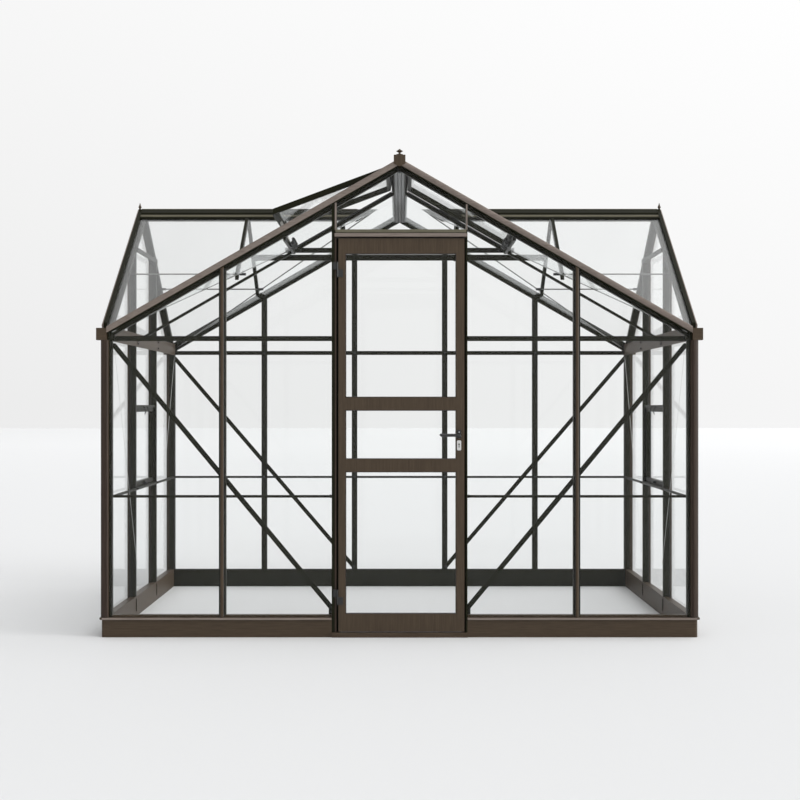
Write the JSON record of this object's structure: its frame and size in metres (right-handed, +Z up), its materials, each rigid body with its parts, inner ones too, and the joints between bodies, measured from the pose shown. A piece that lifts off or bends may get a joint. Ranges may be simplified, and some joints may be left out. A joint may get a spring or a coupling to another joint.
{
  "type": "glass greenhouse",
  "caption": "Glazed garden greenhouse with a wide front gable, cross-gabled roof, hinged door with middle rails, ridge vents and a brown metal frame on a low plinth",
  "frame": {"origin": "centre of the footprint on the ground, midway between the outermost points on each side", "axes": "+X across the front to the right as seen from outside, front faces -Y, +Z up"},
  "size_m": [3.156, 1.9505, 2.544],
  "materials": {
    "brown_frame": "dark brown powder coat with a fine grain, satin",
    "inner_frame": "dark olive-brown powder coat, satin",
    "clear_glass": "clear toughened glass, polished",
    "black_fittings": "black coated metal, satin",
    "lock_steel": "brushed stainless plate"
  },
  "bodies": {
    "greenhouse": {"front_plinths": "brown_frame", "left_plinth": "brown_frame", "right_plinth": "brown_frame", "rear_plinth": "brown_frame", "door_threshold": "brown_frame", "corner_posts": "brown_frame", "corner_caps": "brown_frame", "front_glazing_bars": "brown_frame", "rear_glazing_bars": "brown_frame", "left_glazing_bars": "brown_frame", "right_glazing_bars": "brown_frame", "door_posts": "brown_frame", "door_header": "brown_frame", "front_rails": "inner_frame", "rear_rails": "inner_frame", "left_rails": "inner_frame", "right_rails": "inner_frame", "left_eave_beam": "brown_frame", "right_eave_beam": "brown_frame", "front_rafters": "brown_frame", "rear_rafters": "brown_frame", "left_gable_rafters": "brown_frame", "right_gable_rafters": "brown_frame", "main_ridge": "inner_frame", "cross_ridges": "inner_frame", "roof_bars": "inner_frame", "cross_roof_bars": "inner_frame", "vent_sills": "inner_frame", "roof_ties": "inner_frame", "gable_transoms": "inner_frame", "front_braces": "inner_frame", "rear_braces": "inner_frame", "front_glass": "clear_glass", "rear_glass": "clear_glass", "left_glass": "clear_glass", "right_glass": "clear_glass", "main_roof_glass": "clear_glass", "cross_roof_glass": "clear_glass", "left_roof_vent": "brown_frame", "right_roof_vent": "brown_frame", "roof_vent_glass": "clear_glass", "vent_openers": "black_fittings", "side_windows": "brown_frame", "side_window_glass": "clear_glass", "finials": "brown_frame", "post_hinges": "black_fittings"},
    "door": {"door_frame": "brown_frame", "door_glass": "clear_glass", "door_handle": "black_fittings", "door_lock_plate": "lock_steel", "door_hinges": "black_fittings"}
  },
  "joints": [
    {"name": "door_hinge", "type": "hinge", "parent": "greenhouse", "child": "door", "pos_m": [-0.323, -0.92675, 1.05], "axis": [0, 0, -1], "range_deg": [0, 110]}
  ]
}
